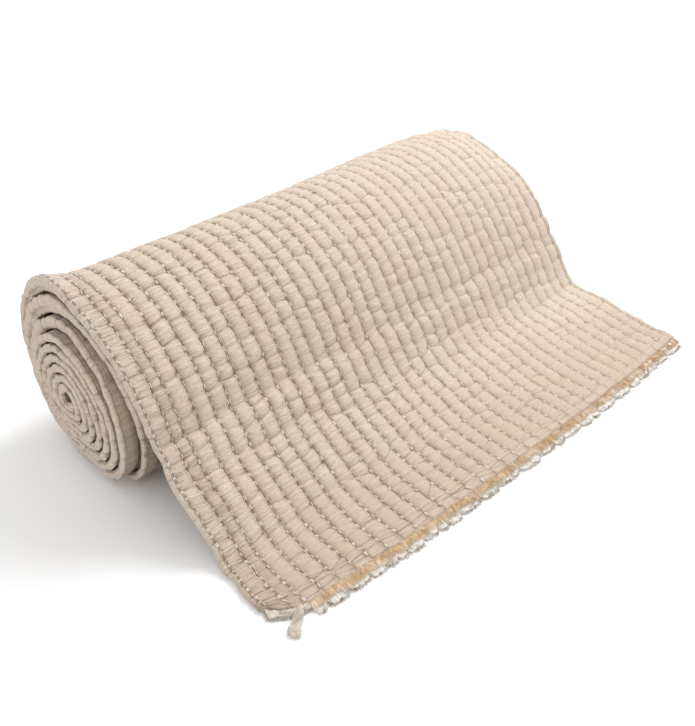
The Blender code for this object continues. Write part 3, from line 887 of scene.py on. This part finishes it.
def raw_end(shares):
    """Points on the floor line of the raw end, the way its threads stick out there, and the way along it."""
    root, aside = (read_path(shares, edge_shares, rows) for rows in (edge_points, edge_runs))
    return root, np.stack((aside[..., 1], -aside[..., 0], 0.0 * aside[..., 0]), axis=-1), aside


def scallops(shares):
    """How far out the matted fibres reach at each share of the width, from 0 to 1."""
    return 0.35 + 0.65 * np.abs(np.sin(math.pi * SCALLOPS * shares + 0.9 * np.sin(29.0 * shares))) ** 0.7


def fibre_finish(name, light, dark, pale):
    """Matted loose fibres. Their colour changes from clump to clump, and pales at the tips and in patches,
    more so to the right."""
    finish = Finish(name)
    place = finish.node("ShaderNodeTexCoord", output=3)
    reach = finish.node("ShaderNodeUVMap", {"uv_map": "reach"}).axis(0)
    clumps = finish.noise(place, 150.0, 3.0, 0.6)
    fine = finish.noise(place, 1500.0, 2.0, 0.6)
    to_right = place.axis(0).between(-0.15, 0.25)
    pale_patches = (finish.noise(place, 55.0, 2.0, 0.6) + 0.09 * to_right).between(0.50, 0.66)
    colour = finish.mix(clumps.between(0.36, 0.66), dark, light)
    colour = finish.mix(fine.between(0.35, 0.75) * 0.35, colour, tuple(1.2 * part for part in light))
    colour = finish.mix(pale_patches * (0.55 + 0.25 * to_right), colour, pale)
    colour = finish.mix(reach.between(0.45, 1.05) * 0.75, colour, pale)
    finish.wear(Base_Color=colour, Roughness=0.95, Normal=finish.raised(fine, 0.06), Sheen_Weight=0.2)
    return finish.material


def matted_band(draw, shares, reach, profile, knobs, start=0.0):
    """A strip of matted fibre along the raw end, with this cross section and this much roughness."""
    root, out, _ = raw_end(shares)
    places, heights = np.array(profile).T
    grid = np.meshgrid(shares * CLOTH_WIDTH, np.arange(float(len(profile))), indexing="ij")
    rough = knobs * (soft_bumps(draw, *grid, 0.0042, 1.4) + 0.6 * soft_bumps(draw, *grid, 0.0019, 1.0))
    out_to = RAW_END_GAP + places * reach[:, None]
    out_to = np.maximum(out_to + rough * (out_to > 0.002), RAW_END_GAP) + np.reshape(start, (-1, 1))
    up_to = np.maximum(heights + 0.6 * rough, 0.00005)
    points = root[:, None] + out[:, None] * out_to[..., None] + up_to[..., None] * UPWARD
    return points.reshape(-1, 3), tube_faces(*points.shape[:2]), np.tile(places, len(shares))


def fibre_piece(name, parts, material):
    """One object from many meshes of fibre, with a map of how far from its root each point is."""
    piece = joined_piece(name, [part[:2] for part in parts], material)
    reach = np.concatenate([part[2] for part in parts])
    corners = np.empty(len(piece.data.loops), int)
    piece.data.loops.foreach_get("vertex_index", corners)
    flat = np.stack((reach[corners], 0.0 * corners), axis=-1).astype(np.float32)
    piece.data.uv_layers.new(name="reach").data.foreach_set("uv", flat.ravel())
    return piece


def strand(points, radii, sides=3):
    """One fibre from its root to its tip."""
    corners, faces = thread_tube(points, radii, sides)
    return corners, faces, np.repeat(np.linspace(0.0, 1.0, len(points)), sides)


draw = np.random.default_rng(17)
tan_fibre = fibre_finish("tan_scrim_fibre", (0.73, 0.53, 0.32), (0.55, 0.37, 0.19), (0.77, 0.68, 0.56))
tan_shares = np.linspace(BARE_CORNER, SCRIM_END, 520)
tan_reach = TAN_REACH * (0.46 + 0.42 * scallops(tan_shares))
tan_parts = [matted_band(draw, tan_shares, tan_reach, TAN_SECTION, 0.0005)]
strand_shares = np.sort(draw.uniform(BARE_CORNER, SCRIM_END, TAN_STRANDS))
for root, out, aside, lobe in zip(*raw_end(strand_shares), scallops(strand_shares)):
    reach = TAN_REACH * (0.50 + 0.50 * lobe) * draw.uniform(0.72, 1.15)
    way = out + aside * draw.normal(0.0, 0.22)
    start = root + out * RAW_END_GAP + UPWARD * (0.0046 + draw.uniform(-0.0003, 0.0012))
    drop = UPWARD * draw.uniform(0.0006, 0.0024)
    middle = start + way * reach * 0.5 - 0.35 * drop + aside * draw.normal(0.0, 0.0003)
    radius = draw.uniform(0.00014, 0.00028)
    tan_parts.append(strand((start, middle, start + way * reach - drop), (radius, radius, 0.35 * radius)))
tan_brush = fibre_piece("tan_scrim_brush", tan_parts, tan_fibre)
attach(tan_brush, "root")
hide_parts("tan_scrim_edge")


# The wadding, pulled out in white tufts under the tan scrim. It is one matted roll of carded cotton, nicked
# every two or three centimetres, with loose fibres standing off it.

WADDING_FIBRES = 5600
WADDING_REACH = 0.0178
WADDING_END = 0.993
WADDING_SECTION = (
    (0.0, 0.0001), (0.5, 0.0001), (0.90, 0.0002), (1.0, 0.0011),
    (0.93, 0.0024), (0.75, 0.0033), (0.45, 0.0029), (0.0, 0.0024),
)
TUFTS = 26
FIBRE_STEPS = np.array((0.0, 0.7, 1.0))[:, None]

draw = np.random.default_rng(29)
wadding_colours = ((0.65, 0.625, 0.58), (0.52, 0.43, 0.33), (0.76, 0.74, 0.70))
white_fibre = fibre_finish("white_cotton_wadding", *wadding_colours)
tuft_widths = draw.uniform(0.5, 1.6, TUFTS)
tuft_ends = np.concatenate(([0.0], np.cumsum(tuft_widths))) / tuft_widths.sum()
tuft_edges = BARE_CORNER + (WADDING_END - BARE_CORNER) * tuft_ends
tuft_sizes = draw.uniform(0.84, 1.0, TUFTS)


def tuft_reach(shares):
    """How far out the wadding reaches: rounded tufts with narrow nicks between them."""
    number = np.clip(np.searchsorted(tuft_edges, shares, side="right") - 1, 0, TUFTS - 1)
    left, right = tuft_edges[number], tuft_edges[number + 1]
    inside = 1.0 - np.abs(2.0 * (shares - left) / (right - left) - 1.0) ** 5
    return WADDING_REACH * tuft_sizes[number] * (0.68 + 0.32 * np.clip(inside, 0.0, 1.0))


wadding_shares = np.linspace(BARE_CORNER, WADDING_END, 760)
wadding_reach = tuft_reach(wadding_shares) + draw.uniform(-0.0004, 0.0004, len(wadding_shares))
wadding_parts = [matted_band(draw, wadding_shares, 0.88 * wadding_reach, WADDING_SECTION, 0.0012)]
fibre_shares = np.sort(draw.uniform(BARE_CORNER, WADDING_END, WADDING_FIBRES))
for root, out, aside, reach in zip(*raw_end(fibre_shares), tuft_reach(fibre_shares)):
    from_root = 1.0 - draw.uniform(0.12, 0.86) ** 1.7
    high = 0.0058 - 0.0052 * from_root**1.5
    start = root + out * reach * from_root + UPWARD * high * draw.uniform(0.4, 1.0)
    turn = draw.normal(0.0, 0.70)
    way = out * math.cos(turn) + aside * math.sin(turn)
    long = draw.uniform(0.0014, 0.0050)
    bend = np.array((-way[1], way[0], 0.0)) * draw.normal(0.0, 0.40) * long
    rise = draw.uniform(-0.0006, 0.0007)
    path = start + way * long * FIBRE_STEPS + bend * FIBRE_STEPS**2
    path[:, 2] = np.maximum(path[:, 2] + rise * np.sin(2.2 * FIBRE_STEPS[:, 0]), 0.0002)
    wadding_parts.append(strand(path, (0.00026, 0.00020, 0.00008)))
tufts = fibre_piece("wadding_fluff", wadding_parts, white_fibre)
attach(tufts, "root")
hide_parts("wadding_tufts")


# Brown bits of husk that are still in the unbleached wadding, caught along its lower edge and in its nicks.

STRAY_HUSKS = 46
draw = np.random.default_rng(37)
husk_brown = fibre_finish("brown_cotton_husk", (0.42, 0.25, 0.12), (0.22, 0.11, 0.05), (0.30, 0.17, 0.08))


def lump(draw, centre, axes, sizes, roughness, rings=8, sides=12):
    """A knobbly closed lump of fibre, flattened on the floor."""
    tilt = np.pi * (np.arange(1, rings) / rings)
    turn = 2.0 * np.pi * np.arange(sides) / sides
    flat = np.sin(tilt)[:, None]
    upright = np.repeat(np.cos(tilt)[:, None], sides, axis=1)
    ring = np.stack((flat * np.cos(turn), flat * np.sin(turn), upright), axis=-1).reshape(-1, 3)
    ball = np.concatenate(([[0.0, 0.0, 1.0]], ring, [[0.0, 0.0, -1.0]]))
    ball = ball * (1.0 + draw.uniform(-roughness, roughness, (len(ball), 1)))
    points = centre + (ball * sizes) @ axes
    points[:, 2] = np.maximum(points[:, 2], 0.00005)
    faces = [(0, 1 + side, 1 + (side + 1) % sides) for side in range(sides)]
    for near in range(rings - 2):
        first = 1 + near * sides
        for side in range(sides):
            after = (side + 1) % sides
            faces.append((first + side, first + sides + side, first + sides + after, first + after))
    last, end = 1 + (rings - 2) * sides, len(ball) - 1
    faces += [(end, last + (side + 1) % sides, last + side) for side in range(sides)]
    return points, faces, np.full(len(points), 0.3)


husk_parts = []
husk_shares = np.array([*tuft_edges[1:-1], *draw.uniform(0.06, 0.99, STRAY_HUSKS)])
for root, out, aside, reach in zip(*raw_end(husk_shares), tuft_reach(husk_shares)):
    centre = root + out * reach * draw.uniform(0.88, 1.0) + UPWARD * draw.uniform(0.0005, 0.0018)
    sizes = np.array((draw.uniform(0.0008, 0.0026), draw.uniform(0.0005, 0.0011), 0.0007))
    husk_parts.append(lump(draw, centre, np.stack((aside, out, UPWARD)), sizes, 0.35, 5, 7))
husks = fibre_piece("wadding_husks", husk_parts, husk_brown)
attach(husks, "root")


# The near corner's fray. The hem ends there with no scrim or wadding showing, and its own cotton has worn
# back into a short grey fringe.

CORNER_FIBRES = 1700
CORNER_SECTION = ((0.0, 0.0004), (0.8, 0.0006), (1.0, 0.0018), (0.9, 0.0036), (0.5, 0.0047), (0.0, 0.0050))

draw = np.random.default_rng(53)
grey_cotton = fibre_finish("grey_frayed_cotton", (0.62, 0.54, 0.46), (0.47, 0.39, 0.31), (0.68, 0.62, 0.55))
corner_shares = np.linspace(0.001, BARE_CORNER + 0.006, 90)
corner_worn = worn_back(corner_shares * CLOTH_WIDTH)
corner_reach = 0.0030 + 0.55 * corner_worn + 0.0022 * corner_shares / BARE_CORNER
fray = [matted_band(draw, corner_shares, corner_reach, CORNER_SECTION, 0.0014, -corner_worn)]
fray_shares = draw.uniform(0.0, BARE_CORNER + 0.01, CORNER_FIBRES)
fray_reach = np.interp(fray_shares, corner_shares, corner_reach)
fray_worn = worn_back(fray_shares * CLOTH_WIDTH)
for root, out, aside, reach, worn in zip(*raw_end(fray_shares), fray_reach, fray_worn):
    from_root = draw.uniform(0.0, 0.95)
    start = root + out * (reach * from_root - worn)
    start[2] = draw.uniform(0.0006, 0.0056 - 0.0036 * from_root)
    way = out + aside * draw.normal(0.0, 0.5)
    long = draw.uniform(0.0016, 0.0052)
    middle = start + 0.5 * long * way + aside * draw.normal(0.0, 0.0004)
    tip = start + long * way + aside * draw.normal(0.0, 0.0008)
    tip[2] = max(tip[2] - draw.uniform(0.0, 0.0016), 0.0002)
    radius = draw.uniform(0.00014, 0.00026)
    fray.append(strand((start, middle, tip), (radius, radius, 0.4 * radius)))
corner_fray = fibre_piece("corner_fray", fray, grey_cotton)
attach(corner_fray, "root")


# The raw end's fuzz. The cover's own cotton is cut there and left unsewn, so it sheds short pale fibres that
# lie out over the scrim.

EDGE_FIBRES = 1100

pale_fuzz = fibre_finish("pale_cotton_fuzz", (0.80, 0.70, 0.60), (0.71, 0.61, 0.51), (0.84, 0.76, 0.67))
fuzz = []
for root, out, aside in zip(*raw_end(draw.uniform(BARE_CORNER, 0.998, EDGE_FIBRES))):
    start = root - out * 0.0016 + UPWARD * draw.uniform(0.0052, 0.0062)
    way = out + aside * draw.normal(0.0, 0.55)
    long = draw.uniform(0.0022, 0.0060)
    tip = start + long * way - UPWARD * draw.uniform(0.0, 0.0012)
    middle = (start + tip) / 2 + UPWARD * 0.0003 + aside * draw.normal(0.0, 0.0005)
    fuzz.append(strand((start, middle, tip), (0.00020, 0.00018, 0.00008)))
edge_fuzz = fibre_piece("raw_edge_fuzz", fuzz, pale_fuzz)
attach(edge_fuzz, "root")


# The corner's tail. Ten frayed ends of the hem are twisted together loosely and lie out on the floor, with a
# fluffy knob of broken fibres where they stop.

TAIL_LENGTH = 0.033
TAIL_START = 0.044
TAIL_HEADING = math.radians(217)
TAIL_ENDS = 10
TAIL_TWIST = 5.4
TAIL_FIBRES = 520
KNOB_LUMPS = 6
KNOB_SIZE = np.array((0.0054, 0.0046, 0.0028))

(tail_root,), (tail_out,), _ = raw_end([TAIL_START])
tail_way = np.array((math.cos(TAIL_HEADING), math.sin(TAIL_HEADING), 0.0))
tail_aside = np.array((-tail_way[1], tail_way[0], 0.0))
tail_start = tail_root - tail_out * 0.0008
tail_run = tail_way * TAIL_LENGTH
tail_parts = []
steps = np.linspace(0.0, 1.0, 16)
wide = 0.0024 + 0.0014 * np.sin(math.pi * steps) + 0.0010 * steps
for number in range(TAIL_ENDS):
    turn = 2.0 * math.pi * number / TAIL_ENDS + TAIL_TWIST * steps
    path = tail_start + np.outer(steps * 0.90, tail_run) + np.outer(wide * np.cos(turn), tail_aside)
    path[:, 2] = np.maximum(0.0032 + 0.0020 * np.sin(turn), 0.0011)
    tail_parts.append(strand(path, draw.uniform(0.0008, 0.0013) * (1.0 - 0.3 * steps), 5))
knob = tail_start + tail_run * 0.88 + UPWARD * 0.0026
for _ in range(KNOB_LUMPS):
    offset = draw.normal(0.0, 0.0017, 3) * np.array((1.0, 1.0, 0.3))
    sizes = KNOB_SIZE * draw.uniform(0.70, 1.05)
    tail_parts.append(lump(draw, knob + offset, np.stack((tail_way, tail_aside, UPWARD)), sizes, 0.18))
for _ in range(TAIL_FIBRES):
    start = tail_start + tail_run * draw.uniform(0.05, 1.02) * 0.95
    start = start + tail_aside * draw.normal(0.0, 0.0022)
    start[2] = draw.uniform(0.0008, 0.0042)
    turn = draw.uniform(0.0, 2.0 * math.pi)
    way = np.array((math.cos(turn), math.sin(turn), 0.0)) + 0.6 * tail_way
    long = draw.uniform(0.0012, 0.0036)
    path = np.stack([start + long * step * way for step in (0.0, 0.5, 1.0)])
    tail_parts.append(strand(path, (0.00020, 0.00018, 0.00007)))
tail = fibre_piece("corner_twist", tail_parts, grey_cotton)
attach(tail, "root")
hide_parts("corner_tail")


# The studio: a pale floor that runs on past the view, soft light from all round, and one broad round lamp
# high up on the right. The camera stands at the near left corner, over half a metre up.

FLOOR_REACH = 9
FLOOR_WHITE = (0.96, 0.96, 0.96)
ROOM_LIGHT = 0.93
LAMP_PLACE = (1.55, 0.05, 2.15)
LAMP_AIM = (0.0, 0.0, 0.10)
LAMP_SIZE = 1.5
LAMP_WATTS = 44.0
CAMERA_PLACE = (-0.6415, -0.7186, 0.6158)
CAMERA_HEADING = math.radians(44.19)
CAMERA_PITCH = math.radians(34.09)
CAMERA_ROLL = math.radians(-1.26)
CAMERA_LENS = 802.2 / 726 * 36.0

floor_corners = [(x * FLOOR_REACH, y * FLOOR_REACH, 0) for x, y in ((-1, -1), (1, -1), (1, 1), (-1, 1))]
floor_mesh = bpy.data.meshes.new("studio_floor")
floor_mesh.from_pydata(floor_corners, [], [(0, 1, 2, 3)])
floor = placed("studio_floor", floor_mesh)
floor_paint = Finish("pale_floor")
floor_paint.wear(Base_Color=FLOOR_WHITE, Roughness=0.9, Specular_IOR_Level=0.1)
floor_mesh.materials.append(floor_paint.material)

world = bpy.data.worlds.new("studio")
bpy.context.scene.world = world
world.use_nodes = True
sky = world.node_tree.nodes["Background"].inputs
sky["Color"].default_value = (1.0, 1.0, 1.0, 1.0)
sky["Strength"].default_value = ROOM_LIGHT

lamp_light = bpy.data.lights.new("broad_lamp", "AREA")
lamp_light.shape = "DISK"
lamp_light.size = LAMP_SIZE
lamp_light.energy = LAMP_WATTS
lamp = placed("broad_lamp", lamp_light)
lamp.location = LAMP_PLACE
lamp.rotation_mode = "QUATERNION"
lamp.rotation_quaternion = (Vector(LAMP_AIM) - Vector(LAMP_PLACE)).to_track_quat("-Z", "Y")

looking = Vector((
    math.sin(CAMERA_HEADING) * math.cos(CAMERA_PITCH),
    math.cos(CAMERA_HEADING) * math.cos(CAMERA_PITCH),
    -math.sin(CAMERA_PITCH),
))
level = Vector((math.cos(CAMERA_HEADING), -math.sin(CAMERA_HEADING), 0.0))
above = level.cross(looking)
right = math.cos(CAMERA_ROLL) * level + math.sin(CAMERA_ROLL) * above
up = math.cos(CAMERA_ROLL) * above - math.sin(CAMERA_ROLL) * level
camera_data = bpy.data.cameras.new("camera")
camera_data.lens = CAMERA_LENS
camera_data.sensor_width = 36.0
camera = placed("camera", camera_data)
turned = Matrix((right, up, -looking)).transposed()
camera.matrix_world = Matrix.Translation(CAMERA_PLACE) @ turned.to_4x4()
bpy.context.scene.camera = camera
bpy.context.scene.view_settings.view_transform = "Standard"
